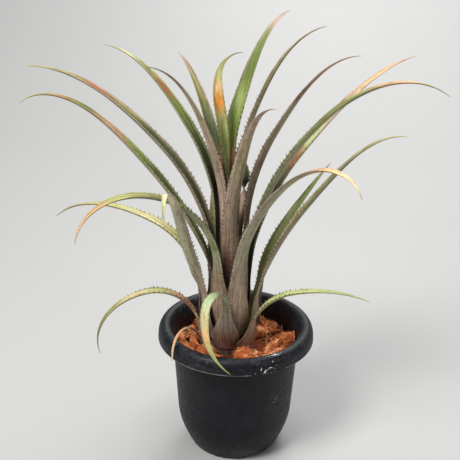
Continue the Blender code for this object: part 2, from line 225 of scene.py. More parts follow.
# Colours with their places along a leaf. Three lines go together: leaves, their outsides, their channels.
PAINT = """
heart_left
bark 0 plum .3 mauve .45 sage .8 ash 1
rose 0 rose .34 pea .44 pea .54 fern .62 lime .7 amber .77 tan .82 lime .87 olive .93 ash 1
heart_tall
bark 0 umber .3 blush .5 blush .75 plum .9 ash 1
dim 0 rust .34 rust .46 leaf .56 fern .64 leaf .76 leaf .86 blush .94 ash 1
inner_left
bark 0 umber .25 blush .4 mauve .6 taupe .75 umber .9 ash 1
dim 0 moss .5 olive .9 ash 1
inner_back_left
bark 0 umber .3 mauve .5 blush .7 pink .85 plum 1
dim 0 rust .45 moss .65 olive .85 plum 1
inner_right
bark 0 umber .25 blush .45 mauve .6 olive .78 olive .9 umber 1
dim 0 moss .6 olive .9 umber 1
inner_front
bark 0 wine .2 umber .32 mauve .45 taupe .7 mauve .85 blush .95 salmon 1
dim 0 wine .35 moss .6 olive .85 blush 1
rear_upper rear_left
bark 0 umber .4 taupe .7 sage 1
dim 0 moss .5 olive .8 sage 1
upper_left
bark 0 plum .2 blush .4 blush .55 straw .7 olive .8 straw .9 ash 1
dim 0 dim .4 moss .58 leaf .7 rust .76 olive .84 straw .93 ash 1
upper_right
bark 0 umber .3 umber .5 taupe .7 umber .8 pink .9 salmon .96 straw 1
dim 0 moss .5 olive .8 salmon 1
wide_left
bark 0 plum .15 mauve .3 mauve .45 sage .58 olive .7 pink .79 olive .85 lime 1
dim 0 moss .3 moss .6 olive .7 rust .8 olive .86 lime 1
wide_right
bark 0 taupe .2 olive .35 sage .55 lime .68 sage .75 salmon .87 straw .95 pink 1
dim 0 moss .5 olive .75 salmon .87 straw 1
low_left
bark 0 plum .2 mauve .35 mauve .5 fern .6 pink .66 pink .74 olive .8 rust .9 lime 1
dim 0 moss .3 moss .52 leaf .58 fern .64 pink .68 pink .75 leaf .8 rust .88 olive .94 lime 1
wide_back_right
bark 0 mauve .3 sage .5 blush .7 tan .85 straw .95 pink 1
dim 0 moss .3 moss .45 rust .52 pea .6 blush .7 tan .9 pink 1
front_left
bark 0 plum .12 umber .22 sage .32 leaf .36 sage .42 sage .56 olive .64 olive .7 \
lime .76 tan .83 tan .93 salmon 1
dim 0 moss .5 olive .7 lime .78 tan .86 salmon 1
rear_middle
bark 0 umber .4 sage .7 straw 1
dim 0 moss .5 olive .8 straw 1
front_right
bark 0 umber .1 mauve .22 sage .35 sage .65 taupe .76 tan .83 straw .9 cream 1
dim 0 moss .5 olive .75 tan .85 cream 1
mid_right
umber 0 taupe .2 taupe .4 olive .6 olive .75 lime .88 pea 1
dim 0 olive .4 leaf .7 lime 1
front_near
umber 0 taupe .25 sage .4 sage .68 cream .8 cream .84 pea .93 cream 1
dim 0 olive .5 sage .72 cream .84 pea 1
rear_low
bark 0 taupe .4 sage .7 straw 1
dim 0 moss .5 olive .8 straw 1
mid_back_right
umber 0 sage .3 sage .7 olive 1
olive 0 olive .25 fern .4 pea .65 fern .85 umber 1
outer_left
umber 0 pink .25 straw .35 straw .5 lime .7 taupe .88 plum .96 ash 1
umber 0 pink .3 lime .4 straw .6 lime .75 taupe .9 ash 1
hooked
wine 0 bark .1 ash .24 sage .32 mint .4 mint .54 straw .62 tan .7 salmon .75 straw .8 lime .9 olive 1
dim 0 sage .35 mint .5 straw .65 tan .72 lime .85 olive 1
outer_right
bark 0 plum .12 blush .25 pea .4 pea .7 fern .9 pea 1
umber 0 blush .3 pea .45 pea .8 fern 1
bottom_left
umber 0 plum .15 blush .24 rose .3 pink .38 straw .46 lime .55 olive .7 taupe .9 tan 1
umber 0 rose .3 pink .37 lime .45 straw .6 olive .75 olive .9 tan 1
withered
umber 0 pink .3 salmon .5 salmon .8 cream 1
umber 0 pink .3 salmon .8 cream 1
"""


def stops_of(words):
    """Colour stops from a line such as "moss 0 olive .5": a list of (place, colour)."""
    parts = words.split()
    return [(float(parts[i + 1]), PALETTE[parts[i]]) for i in range(0, len(parts), 2)]


def leaf_paints():
    """Each leaf's colour stops, outside and in its channel."""
    lines = PAINT.strip().splitlines()
    found = {}
    for names, outside, channel in zip(lines[::3], lines[1::3], lines[2::3]):
        found.update(dict.fromkeys(names.split(), (stops_of(outside), stops_of(channel))))
    return found


def ramp(stops, place):
    for (low, first), (high, second) in zip(stops, stops[1:]):
        if place <= high:
            return mix_all(first, second, smoothstep(low, high, place))
    return stops[-1][1]


# ---- finishes and stage

STREAK_LIGHT = (0.2, 0.19, 0.14)
STREAK_SHADE = (0.5, 0.46, 0.38)
STRIPE_SHADE = (0.44, 0.41, 0.3)
SPECK_SHADE = (0.4, 0.32, 0.27)
SKIN_RELIEF = 1.3 * MM
# Each leaf skin's share of silver, mottling and roughness.
SKINS = {
    "mauve": (0.5, (0.72, 0.62, 0.58), 0.5),
    "olive": (0.4, (0.7, 0.72, 0.5), 0.46),
    "green": (0.35, (0.66, 0.8, 0.5), 0.44),
    "pale": (0.3, (0.85, 0.72, 0.5), 0.46),
    "dry": (0.15, (0.8, 0.66, 0.55), 0.7),
}
PLASTIC_BLOOM = (0.018, 0.02, 0.026)
DUST = srgb(84, 86, 90)
SOIL = srgb(88, 86, 84)
# Colour of the painted highlight along the lower edge of the rim's skirt.
SKIRT_HIGHLIGHT = srgb(150, 152, 156)
SCUFF = srgb(170, 172, 172)
GLINT = srgb(236, 238, 240)
WET = (0.003, 0.003, 0.004)
SKIRT_HEIGHT = 116.5 * MM
SCUFF_AT = (39 * MM, -42 * MM, 68 * MM)
WET_AT = (31 * MM, -66 * MM, 120 * MM)
WET_RADIUS = 12.5 * MM

# Each light's name, place, target, size, share of the key light's power, and colour.
LIGHTS = (
    ("key", (-0.7, -0.8, 1.6), (0, 0, 0.15), 0.55, 1.0, (1.0, 0.985, 0.96)),
    ("fill", (1.2, -1.1, 0.9), (0, 0, 0.15), 1.2, 0.17, (0.96, 0.98, 1.0)),
    ("top", (0.3, 0.45, 1.7), (0, 0.1, 0.1), 1.2, 0.6, (1.0, 1.0, 1.0)),
    ("backdrop", (0.35, 1.7, 1.5), (0.3, 1.6, 0.0), 1.0, 0.7, (1.0, 1.0, 1.0)),
)
SKY = (0.93, 0.95, 1.0, 1.0)
SKY_STRENGTH = 0.22
SENSOR = 36.0
LENS = 67.7
AIM = (-7.4 * MM, 0.0, 226.6 * MM)
CAMERA_ROLL = math.radians(1.0)
FLOOR_NEAR = -3.0
FLOOR_FAR = 0.9
FLOOR_WIDTH = 8.0
COVE = 1.2
WALL_TOP = 3.5


# ---- mesh helpers

def linked(name, data):
    """A new object in the scene."""
    made = bpy.data.objects.new(name, data)
    bpy.context.scene.collection.objects.link(made)
    return made


def object_of(name, work):
    """The finished bmesh as an object in the scene."""
    mesh = bpy.data.meshes.new(name)
    work.to_mesh(mesh)
    work.free()
    return linked(name, mesh)


def husk_layers(work):
    """Where a vertex lies in its chunk's own grain, and how light its husk is."""
    return work.verts.layers.float_vector.new("grain"), work.verts.layers.float.new("shade")


def facing(way, axis="-Z"):
    """The turn that points an axis along way."""
    return way.to_track_quat(axis, "Y").to_matrix().to_4x4()


def add_piece(name, work, material, stands_for=(), sharp=None):
    """Make the finished bmesh a smooth piece that rides on the frame."""
    made = object_of(name, work)
    made.data.materials.append(material)
    made.data.shade_smooth()
    if sharp:
        made.data.set_sharp_from_angle(angle=math.radians(sharp))
    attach(made, BODY)
    if stands_for:
        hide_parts(*stands_for)
    return made


def curve_through(points, share):
    """Points on smooth curves through each point of a profile, with share of them to a span."""
    found = []
    for i in range(len(points) - 1):
        before, here = Vector(points[max(0, i - 1)]), Vector(points[i])
        ahead, after = Vector(points[i + 1]), Vector(points[min(len(points) - 1, i + 2)])
        for k in range(share):
            t = k / share
            found.append(tuple(0.5 * (2 * here + (ahead - before) * t
                                      + (2 * before - 5 * here + 4 * ahead - after) * t**2
                                      + (3 * here - before - 3 * ahead + after) * t**3)))
    return found + [tuple(points[-1])]


def polyline(work, points):
    verts = [work.verts.new(point) for point in points]
    return verts, [work.edges.new(pair) for pair in zip(verts, verts[1:])]


def turn_profile(work, profile, steps):
    """Spin a profile of (radius, height) right round Z, and close it where it meets the axis."""
    verts, edges = polyline(work, [(radius, 0.0, height) for radius, height in profile])
    bmesh.ops.spin(work, geom=verts + edges, cent=(0, 0, 0), axis=(0, 0, 1), dvec=(0, 0, 0),
                   angle=math.tau, steps=steps, use_merge=True)
    bmesh.ops.remove_doubles(work, verts=work.verts[:], dist=1e-6)
    bmesh.ops.recalc_face_normals(work, faces=work.faces[:])


def make_strands(name, paths, thickness, material):
    """Fine fibres: each path is a list of points, and the fibre tapers to both of its ends."""
    curve = bpy.data.curves.new(name, "CURVE")
    curve.dimensions = "3D"
    curve.bevel_depth = 1.0
    curve.bevel_resolution = 0
    curve.use_fill_caps = True
    for path, scale in paths:
        spline = curve.splines.new("POLY")
        spline.points.add(len(path) - 1)
        last = len(path) - 1
        for i, point in enumerate(path):
            spline.points[i].co = (*point, 1.0)
            swell = math.sin(math.pi * (i + 0.4) / (last + 0.8))
            spline.points[i].radius = thickness * scale * mix(FIBRE_END, 1.0, swell)
    rough = linked(name + "_line", curve)
    bpy.context.view_layer.update()
    mesh = bpy.data.meshes.new_from_object(rough.evaluated_get(bpy.context.evaluated_depsgraph_get()))
    bpy.data.objects.remove(rough)
    work = bmesh.new()
    work.from_mesh(mesh)
    bpy.data.meshes.remove(mesh)
    return add_piece(name, work, material)


# ---- material helpers

class Graph:
    """A new material's nodes, with short ways to add them and join them to the shader."""

    def __init__(self, name):
        self.material = bpy.data.materials.new(name)
        self.material.use_nodes = True
        self.tree = self.material.node_tree
        self.shader = self.tree.nodes["Principled BSDF"]

    def add(self, kind, inputs=None, **settings):
        node = self.tree.nodes.new("ShaderNode" + kind)
        for key, value in settings.items():
            setattr(node, key, value)
        for key, value in (inputs or {}).items():
            self.put(node.inputs[key], value)
        return node

    def put(self, socket, value):
        if isinstance(value, bpy.types.NodeSocket):
            self.tree.links.new(value, socket)
        elif isinstance(value, tuple) and len(value) == 3 and socket.type == "RGBA":
            socket.default_value = (*value, 1.0)
        else:
            socket.default_value = value

    def attribute(self, name, output="Color"):
        return self.add("Attribute", attribute_name=name, attribute_type="GEOMETRY").outputs[output]

    def place(self, scale=(1, 1, 1), source=None, move=(0, 0, 0)):
        """Object coordinates, or another vector, scaled to suit a pattern."""
        source = source or self.add("TexCoord").outputs["Object"]
        return self.add("Mapping", {"Vector": source, "Scale": scale, "Location": move}).outputs["Vector"]

    def noise(self, vector, detail=3.0, rough=0.55, warp=0.0, scale=1.0):
        return self.add("TexNoise", {"Vector": vector, "Scale": scale, "Detail": detail, "Roughness": rough,
                                     "Distortion": warp}).outputs["Fac"]

    def spread(self, value, low, high, top=1.0, bottom=0.0):
        """The bottom value at low and the top one at high, with a smooth step between them."""
        return self.add("MapRange", {"Value": value, "From Min": low, "From Max": high, "To Min": bottom,
                                     "To Max": top}, interpolation_type="SMOOTHSTEP").outputs["Result"]

    def maths(self, operation, first, second=0.0):
        return self.add("Math", {0: first, 1: second}, operation=operation).outputs["Value"]

    def times(self, *values):
        """The product of several values."""
        found = values[0]
        for value in values[1:]:
            found = self.maths("MULTIPLY", found, value)
        return found

    def shaded(self, colour, tint):
        return self.blend(1.0, colour, tint, "MULTIPLY")

    def distance(self, where, point):
        return self.add("VectorMath", {0: where, 1: point}, operation="DISTANCE").outputs["Value"]

    def blend(self, fac, first, second, kind="MIX"):
        node = self.add("Mix", data_type="RGBA", blend_type=kind)
        for socket, value in ((node.inputs[0], fac), (node.inputs[6], first), (node.inputs[7], second)):
            self.put(socket, value)
        return node.outputs[2]

    def bump(self, height, distance, strength=1.0, over=None):
        inputs = {"Height": height, "Distance": distance, "Strength": strength}
        if over:
            inputs["Normal"] = over
        return self.add("Bump", inputs).outputs["Normal"]

    def finish(self, **inputs):
        for key, value in inputs.items():
            self.put(self.shader.inputs[key.replace("_", " ")], value)
        return self.material


def leaf_material(name, silver, silver_share, mottle, roughness):
    """Leaf skin: the painted colour, broken by streaks, mottling, cross-bands and silvery scurf."""
    g = Graph(name)
    tone, grain, scurf = g.attribute("tone"), g.attribute("grain", "Vector"), g.attribute("scurf", "Fac")
    streaks = g.noise(g.place((1.1, 0.035, 1.0), grain), 4.0, 0.6)
    stripes = g.noise(g.place((0.42, 0.011, 1.0), grain, (2, 5, 3)), 3.0, 0.55)
    blotches = g.noise(g.place((0.4, 0.12, 1.0), grain, (3, 7, 1)), 4.0, 0.65, 0.4)
    bands = g.noise(g.place((0.07, 0.34, 1.0), grain, (9, 2, 5)), 2.0, 0.5, 0.6)
    specks = g.noise(g.place((0.9, 0.7, 1.0), grain, (4, 4, 8)), 5.0, 0.75)
    fine = g.noise(g.place((3.2, 1.1, 1.0), grain), 4.0, 0.7)
    lit = g.blend(1.0, tone, STREAK_LIGHT, "ADD")
    colour = g.blend(g.spread(streaks, 0.5, 0.36, 0.5), tone, lit)
    colour = g.blend(g.spread(streaks, 0.48, 0.64, 0.55), colour, g.shaded(tone, STREAK_SHADE))
    colour = g.blend(g.spread(stripes, 0.52, 0.62, 0.6), colour, g.shaded(colour, STRIPE_SHADE))
    colour = g.blend(g.spread(blotches, 0.5, 0.6, 0.9), colour, g.shaded(colour, mottle))
    light = g.times(g.spread(specks, 0.44, 0.62), g.spread(bands, 0.4, 0.58, 1.0, 0.4), scurf, silver_share)
    colour = g.blend(light, colour, silver)
    dark = g.spread(specks, 0.42, 0.32, 0.5)
    colour = g.blend(dark, colour, g.shaded(colour, SPECK_SHADE))
    relief = g.maths("ADD", g.times(streaks, 0.7), g.times(fine, 0.3))
    rough = g.spread(specks, 0.3, 0.7, roughness + 0.12, roughness - 0.08)
    return g.finish(Base_Color=colour, Roughness=rough, Normal=g.bump(relief, SKIN_RELIEF, 0.7),
                    Specular_IOR_Level=0.45, Sheen_Weight=0.06, Sheen_Roughness=0.4)


def plastic_material(name, base):
    """Moulded black plastic: mottled on the rim, dusty low down, scuffed on one side, wet in one place, with
    a painted highlight along the skirt's lower edge and painted glints in the wet.
    """
    g = Graph(name)
    where = g.add("TexCoord").outputs["Object"]
    x, y, height = g.add("SeparateXYZ", {"Vector": where}).outputs
    radius = g.maths("SQRT", g.maths("ADD", g.times(x, x), g.times(y, y)))
    cloud = g.noise(where, 4.0, 0.6, 0.3, 60.0)
    grit = g.noise(where, 3.0, 0.7, scale=900.0)
    fine = g.noise(where, 5.0, 0.7, scale=240.0)
    on_rim = g.spread(height, SKIRT_HEIGHT - 2 * MM, SKIRT_HEIGHT)
    low = g.spread(height, 30 * MM, 4 * MM)
    colour = g.blend(g.spread(cloud, 0.35, 0.7, 0.6), base, mix_all(base, PLASTIC_BLOOM, 0.5))
    dust = g.times(g.spread(fine, 0.45, 0.7), on_rim, g.spread(cloud, 0.3, 0.6), 0.4)
    colour = g.blend(dust, colour, DUST)
    colour = g.blend(g.times(low, g.spread(cloud, 0.4, 0.65), 0.35), colour, SOIL)
    # Painted highlight: a pale line along the lower edge of the rim's skirt, broken by the cloud.
    skirt = g.times(g.spread(height, SKIRT_HEIGHT - 1.3 * MM, SKIRT_HEIGHT - 0.7 * MM),
                    g.spread(height, SKIRT_HEIGHT + 0.7 * MM, SKIRT_HEIGHT),
                    g.spread(radius, RIM_RADIUS - 4 * MM, RIM_RADIUS - 2 * MM))
    colour = g.blend(g.times(skirt, g.spread(cloud, 0.3, 0.6, 0.6, 0.2)), colour, SKIRT_HIGHLIGHT)
    marks = g.noise(g.place((200.0, 200.0, 700.0), where), 4.0, 0.7, 0.5)
    near_scuff = g.spread(g.distance(where, SCUFF_AT), 14 * MM, 6 * MM)
    colour = g.blend(g.times(g.spread(marks, 0.6, 0.66), near_scuff, 0.7), colour, SCUFF)
    splash = g.noise(g.place((130, 130, 130), where, (3, 1, 2)), 3.0, 0.6, 0.8)
    ragged = g.times(g.spread(splash, 0.3, 0.7, 0.5, -0.5), 20 * MM)
    edge = g.maths("ADD", g.distance(where, WET_AT), ragged)
    wet = g.times(g.spread(edge, WET_RADIUS, WET_RADIUS - 1 * MM), g.spread(radius, 62 * MM, 64 * MM))
    colour = g.blend(g.times(wet, 0.9), colour, WET)
    # Painted glints: white flecks in the base colour near the middle of the wet patch stand in for lamps
    # reflected in the water.
    glint_specks = g.noise(g.place((420, 420, 420), where), 3.0, 0.55, 0.6)
    glint = g.times(g.spread(glint_specks, 0.6, 0.62), g.spread(edge, 6.5 * MM, 4 * MM), 0.9)
    colour = g.blend(glint, colour, GLINT)
    matt = g.spread(fine, 0.3, 0.7, 0.6, 0.42)
    rough = g.add("Mix", {0: wet, 2: matt, 3: 0.16}, data_type="FLOAT").outputs[0]
    relief = g.maths("ADD", g.times(grit, 0.25), g.times(fine, 0.5))
    return g.finish(Base_Color=colour, Roughness=rough, Normal=g.bump(relief, 0.3 * MM, 0.5),
                    Specular_IOR_Level=0.25)


def husk_material(name, deep_and_shade, mid, bright, scale=1.0):
    """Coconut husk: fibres along each chunk's own grain, over a crumbly pith, with painted shade in its
    grooves and painted highlights on its raised fibres besides its own patchy colour.
    """
    g = Graph(name)
    grain = g.attribute("grain", "Vector")
    fibres = g.noise(g.place((0.12, 1.7, 1.7), grain), 4.0, 0.6, 0.3, scale)
    pith = g.noise(g.place((0.8, 0.8, 0.8), grain), 5.0, 0.7, scale=scale)
    patches = g.noise(g.place((60, 60, 60)), 3.0, 0.6)
    shade = g.attribute("shade", "Fac")
    share = g.maths("ADD", g.times(fibres, 0.6), g.times(pith, 0.4))
    share = g.maths("ADD", share, g.times(g.maths("SUBTRACT", patches, 0.5), 0.5))
    share = g.maths("ADD", share, g.maths("SUBTRACT", shade, 0.5))
    # The ramp follows the same noise as the bumps. Its dark end is the husk's deep colour with painted shade
    # in the grooves, and its bright end is painted highlight on the raised fibres.
    ramp_node = g.add("ValToRGB", {"Fac": share})
    elements = ramp_node.color_ramp.elements
    elements[0].position, elements[0].color = 0.26, (*deep_and_shade, 1)
    elements[1].position, elements[1].color = 0.78, (*bright, 1)
    middle = elements.new(0.5)
    middle.color = (*mid, 1)
    height = g.maths("ADD", g.times(fibres, 0.6), g.times(pith, 0.6))
    return g.finish(Base_Color=ramp_node.outputs["Color"], Roughness=0.9, Specular_IOR_Level=0.2,
                    Normal=g.bump(height, 1.6 * MM, 0.9))


def strand_material(name, dark, light):
    g = Graph(name)
    tint = g.noise(g.place((140, 140, 140)), 2.0, 0.5)
    colour = g.blend(g.spread(tint, 0.35, 0.65), dark, light)
    return g.finish(Base_Color=colour, Roughness=0.75, Specular_IOR_Level=0.3)


def paper_material(name, colour):
    """The seamless ground: even, with a faint mottle and a few fine specks."""
    g = Graph(name)
    where = g.add("TexCoord").outputs["Object"]
    cloud = g.noise(where, 2.0, 0.5, scale=3.0)
    specks = g.noise(where, 1.0, 0.4, scale=170.0)
    tone = g.blend(g.spread(cloud, 0.3, 0.7, 0.12), colour, mix_all(colour, (0.5, 0.49, 0.48), 0.6))
    tone = g.blend(g.spread(specks, 0.8, 0.84, 0.5), tone, srgb(140, 134, 128))
    return g.finish(Base_Color=tone, Roughness=0.6, Specular_IOR_Level=0.3)


# ---- leaves

def ring_radius(ring):
    return RING_INNER + RING_PITCH * ring


def into_blade(leaf, s, turns):
    """0 in the sheath and 1 in the blade, and between them where this turn takes place."""
    return smoothstep(turns[0] * leaf.sheath * MM, turns[1] * leaf.sheath * MM, s)


def blade_share(leaf, s):
    """The share of the blade that lies behind s, from 0 at its foot to 1 at its tip."""
    sheath, length = leaf.sheath * MM, leaf.length * MM
    return max(0.0, (s - sheath) / (length - sheath))


def leaf_angle(leaf, s):
    """The midrib's angle from vertical, in radians, at the distance s along it."""
    bulge = BULGE * leaf.ring * math.sin(math.tau * min(1.0, s / BULB_LENGTH))
    in_sheath = SPLAY * leaf.ring**2 + bulge
    t = blade_share(leaf, s)
    in_blade = mix(leaf.lean, leaf.set, min(1.0, t / SETTLED)) + (leaf.droop - leaf.set) * t**leaf.bend
    return math.radians(mix(in_sheath, in_blade, into_blade(leaf, s, ANGLE_TURNS)))


def leaf_yaw(leaf, s):
    """The direction that the midrib heads in, in radians from +X."""
    turned = mix(leaf.root, leaf.heading, into_blade(leaf, s, HEADING_TURNS))
    return math.radians(turned + leaf.sweep * blade_share(leaf, s) ** 2)


def leaf_width(leaf, s):
    """The width of the leaf's arc: a broad sheath, a neck, and a blade that tapers to its tip."""
    clasp = min(SHEATH_ARC, CLASP * ring_radius(leaf.ring))
    t = blade_share(leaf, s)
    blade = mix(leaf.width * MM, TIP_WIDTH, t**TAPER) * mix(NECK, 1.0, smoothstep(0.0, FULL, t))
    return mix(clasp, blade, into_blade(leaf, s, WIDTH_TURNS))


Station = namedtuple("Station", "at along across inward width curve thick reach")


def leaf_stations(leaf, count):
    """The leaf's stations from base to tip."""
    total = count * STEPS_EACH
    length = leaf.length * MM
    radius = ring_radius(leaf.ring)
    yaw = math.radians(leaf.root)
    at = Vector((PLANT_X + radius * math.cos(yaw), radius * math.sin(yaw),
                 SHEATH_FOOT_TOP - SHEATH_FOOT_STEP * leaf.ring))
    found = []
    for i in range(total + 1):
        s = length * i / total
        angle, yaw = leaf_angle(leaf, s), leaf_yaw(leaf, s)
        out = Vector((math.cos(yaw), math.sin(yaw), 0.0))
        along = out * math.sin(angle) + Vector((0, 0, math.cos(angle)))
        if i % STEPS_EACH == 0:
            inward = Vector((0, 0, math.sin(angle))) - out * math.cos(angle)
            across = Vector((-math.sin(yaw), math.cos(yaw), 0.0))
            width = leaf_width(leaf, s)
            to_axis = math.hypot(at.x - PLANT_X, at.y)
            curve = mix(max(radius, to_axis), CHANNEL_CURVE * width, into_blade(leaf, s, CURVE_TURNS))
            thick = LEAF_THICKNESS * min(1.0, max(THINNEST, FLESHY * width / (leaf.width * MM)))
            found.append(Station(at.copy(), along, across, inward, width, curve, thick, s))
        at += along * (length / total)
    return found


def leaf_point(station, u, depth):
    """A point of the leaf: u runs from -1 to 1 across it, and depth from 0 outside to 1 in the channel."""
    angle = u * station.width / 2 / station.curve
    reach = station.curve - depth * station.thick * (1 - 0.5 * u * u)
    return station.at + station.across * reach * math.sin(angle) \
        + station.inward * (station.curve - reach * math.cos(angle))


def shape_leaf(leaf, paint, sizes, seed):
    """A leaf's bmesh: a slab bent onto its stations, painted, with hooked teeth along both margins."""
    rng = random.Random(seed)
    outside, channel = paint
    edge_tone = PALETTE["blush" if leaf.tint in ("mauve", "green") else "lime"]
    stations = leaf_stations(leaf, LEAF_ALONG)
    wave = [rng.uniform(0, math.tau) for _ in range(4)]
    length, sheath = leaf.length * MM, leaf.sheath * MM
    work = bmesh.new()
    bmesh.ops.create_grid(work, x_segments=LEAF_ACROSS, y_segments=LEAF_ALONG, size=1.0)
    bmesh.ops.solidify(work, geom=work.faces[:], thickness=1.0)
    bmesh.ops.recalc_face_normals(work, faces=work.faces[:])
    tone = work.verts.layers.float_color.new("tone")
    grain = work.verts.layers.float_vector.new("grain")
    scurf = work.verts.layers.float.new("scurf")
    base = min(vert.co.z for vert in work.verts)
    for vert in work.verts:
        u, depth = vert.co.x, vert.co.z - base
        station = stations[round((vert.co.y + 1) / 2 * LEAF_ALONG)]
        t = station.reach / length
        vert.co = leaf_point(station, u, depth)
        ripple = LONG_RIPPLE * math.sin(station.reach / (21 * MM) + wave[0]) * u \
            + SHORT_RIPPLE * math.sin(station.reach / (8 * MM) + wave[1]) * u * abs(u)
        vert.co += station.inward * ripple * smoothstep(sheath, 1.6 * sheath, station.reach)
        inside = smoothstep(0.3, 0.7, depth)
        colour = mix_all(ramp(outside, t), ramp(channel, t), inside)
        turned_away = smoothstep(0.3, 0.75, abs(u)) * (1 - inside)
        colour = mix_all(colour, PALETTE["dim"], SHADOW_SHARE * turned_away)
        rim = smoothstep(0.74, 0.92, abs(u)) * smoothstep(0.12, 0.3, t)
        vert[tone] = (*mix_all(colour, mix_all(colour, edge_tone, EDGE_SHARE), rim), 1.0)
        vert[grain] = (u * station.width / 2 / MM, station.reach / MM, 31.0 * seed + 6.0 * depth)
        vert[scurf] = mix(1.0, 0.25, inside) * mix(1.0, 0.3, smoothstep(0.5, 0.9, t))
    bmesh.ops.reverse_faces(work, faces=work.faces[:])
    add_teeth(work, leaf, stations, sizes, rng, (tone, grain, scurf), (outside, channel))
    return work


def add_teeth(work, leaf, stations, sizes, rng, layers, paints):
    """Hooked teeth along both margins, that point out and towards the tip and are smaller at both ends."""
    tone, grain, scurf = layers
    sheath, length = leaf.sheath * MM, leaf.length * MM
    start, stop = 0.85 * sheath, mix(sheath, length, sizes.toothed_share)
    for side in (-1, 1):
        s = start + rng.uniform(0, sizes.tooth_pitch)
        while s < stop:
            place = s / length * LEAF_ALONG
            low = stations[int(place)]
            high = stations[min(LEAF_ALONG, int(place) + 1)]
            foot = leaf_point(low, side * 0.985, 0.5).lerp(leaf_point(high, side * 0.985, 0.5), place % 1)
            brink = (leaf_point(low, side * 1.0, 0.5) - leaf_point(low, side * 0.9, 0.5)).normalized()
            fade = smoothstep(stop, mix(start, stop, 0.6), s)
            fade *= smoothstep(start - 4 * MM, start + 12 * MM, s)
            tall = sizes.tooth_length * (0.35 + 0.65 * fade) * rng.uniform(0.75, 1.2)
            point = (brink * 0.85 + low.along * 0.55 + low.inward * 0.15).normalized()
            matrix = Matrix.Translation(foot + point * (tall * TOOTH_SUNK)) @ facing(point, "Z")
            made = bmesh.ops.create_cone(work, cap_ends=True, segments=5, radius1=tall * TOOTH_FOOT,
                                         radius2=TOOTH_POINT, depth=tall * 1.1, matrix=matrix)
            t = s / length
            colour = mix_all(ramp(paints[0], t), ramp(paints[1], t), 0.5)
            colour = mix_all(colour, PALETTE["dim"], TOOTH_SHADE)
            for vert in made["verts"]:
                vert[tone] = (*colour, 1.0)
                vert[grain] = (side * 9.0, s / MM, 3.0)
                vert[scurf] = 0.1
            s += sizes.tooth_pitch * rng.uniform(0.7, 1.35)


# ---- pot

def body_radius(height):
    """The outer radius of the pot's body: a rounded foot under a wall that widens slowly."""
    if height < HAUNCH_HEIGHT:
        rise = 1 - (1 - height / HAUNCH_HEIGHT) ** HAUNCH_POWER
        return mix(FOOT_RADIUS, HAUNCH_RADIUS, rise)
    return mix(HAUNCH_RADIUS, NECK_RADIUS, (height - HAUNCH_HEIGHT) / (NECK_HEIGHT - HAUNCH_HEIGHT))


def spaced(low, high, count):
    return [mix(low, high, i / count) for i in range(count + 1)]


def pot_profile():
    """The pot's section, from the middle of its floor over the rim to the middle of its underside."""
    floor_top = FOOT_HEIGHT + FLOOR
    inside = [(0.0, floor_top), (body_radius(floor_top) - WALL - FLOOR, floor_top)]
    inside += [(body_radius(z) - WALL, z) for z in spaced(floor_top + FLOOR, NECK_HEIGHT, 24)]
    over = [(MOUTH_RADIUS - 2.2 * MM, 10), (MOUTH_RADIUS - 0.4 * MM, 4.4), (MOUTH_RADIUS + 2.2 * MM, 1.1),
            (RIM_RADIUS - 6.5 * MM, 0), (RIM_RADIUS - 3 * MM, 1.4), (RIM_RADIUS - 0.7 * MM, 5),
            (RIM_RADIUS, 9), (RIM_RADIUS + 0.05 * MM, 12.6)]
    bead = [(RIM_RADIUS + 0.3 * MM, 13.1), (RIM_RADIUS + 0.3 * MM, 13.8), (RIM_RADIUS - 0.2 * MM, 14),
            (RIM_RADIUS - 1.3 * MM, 14), (RIM_RADIUS - 1.6 * MM, 13.6)]
    under = [(RIM_RADIUS - 1.9 * MM, 9), (RIM_RADIUS - 2.5 * MM, 6), (RIM_RADIUS - 4.2 * MM, 3.2),
             (RIM_RADIUS - 6.5 * MM, 1.9), (MOUTH_RADIUS + 3.5 * MM, 2.8), (MOUTH_RADIUS + 1.6 * MM, 5.5),
             (MOUTH_RADIUS - 0.3 * MM, 11), (NECK_RADIUS, 18)]
    rim = []
    for part, share in ((over, 4), (bead, 1), (under, 3)):
        rim += [(radius, POT_HEIGHT - drop * MM) for radius, drop in curve_through(part, share)]
    outside = [(body_radius(z), z) for z in reversed(spaced(0.0, NECK_HEIGHT - 1 * MM, 40))]
    outside[-1] = (FOOT_RADIUS - 0.4 * MM, 0.0)
    outside.insert(-1, (FOOT_RADIUS, 0.6 * MM))
    base = [(FOOT_RADIUS - FOOT_RING, 0.0), (FOOT_RADIUS - FOOT_RING, FOOT_HEIGHT)]
    base += [(PAD_RADIUS, FOOT_HEIGHT), (PAD_RADIUS, 0.0), (0.0, 0.0)]
    return inside + rim + outside + base


def drain_cutter():
    """Round holes through the pot's floor, and notches under the foot ring that let the water out."""
    def round_z(turns, x, z):
        return Matrix.Rotation(math.tau * turns, 4, "Z") @ Matrix.Translation((x, 0.0, z))

    work = bmesh.new()
    for i in range(DRAIN_HOLES):
        place = round_z(i / DRAIN_HOLES, DRAIN_CIRCLE, FOOT_HEIGHT + FLOOR / 2)
        bmesh.ops.create_cone(work, cap_ends=True, segments=32, radius1=DRAIN_RADIUS, radius2=DRAIN_RADIUS,
                              depth=3 * FLOOR, matrix=place)
    for i in range(NOTCHES):
        place = round_z((i + 0.5) / NOTCHES, FOOT_RADIUS, 0.0)
        size = Matrix.Diagonal((4 * FOOT_RING, NOTCH_WIDTH, 2 * NOTCH_HEIGHT, 1.0))
        bmesh.ops.create_cube(work, size=1.0, matrix=place @ size)
    return object_of("drain_cutter", work)


# ---- medium

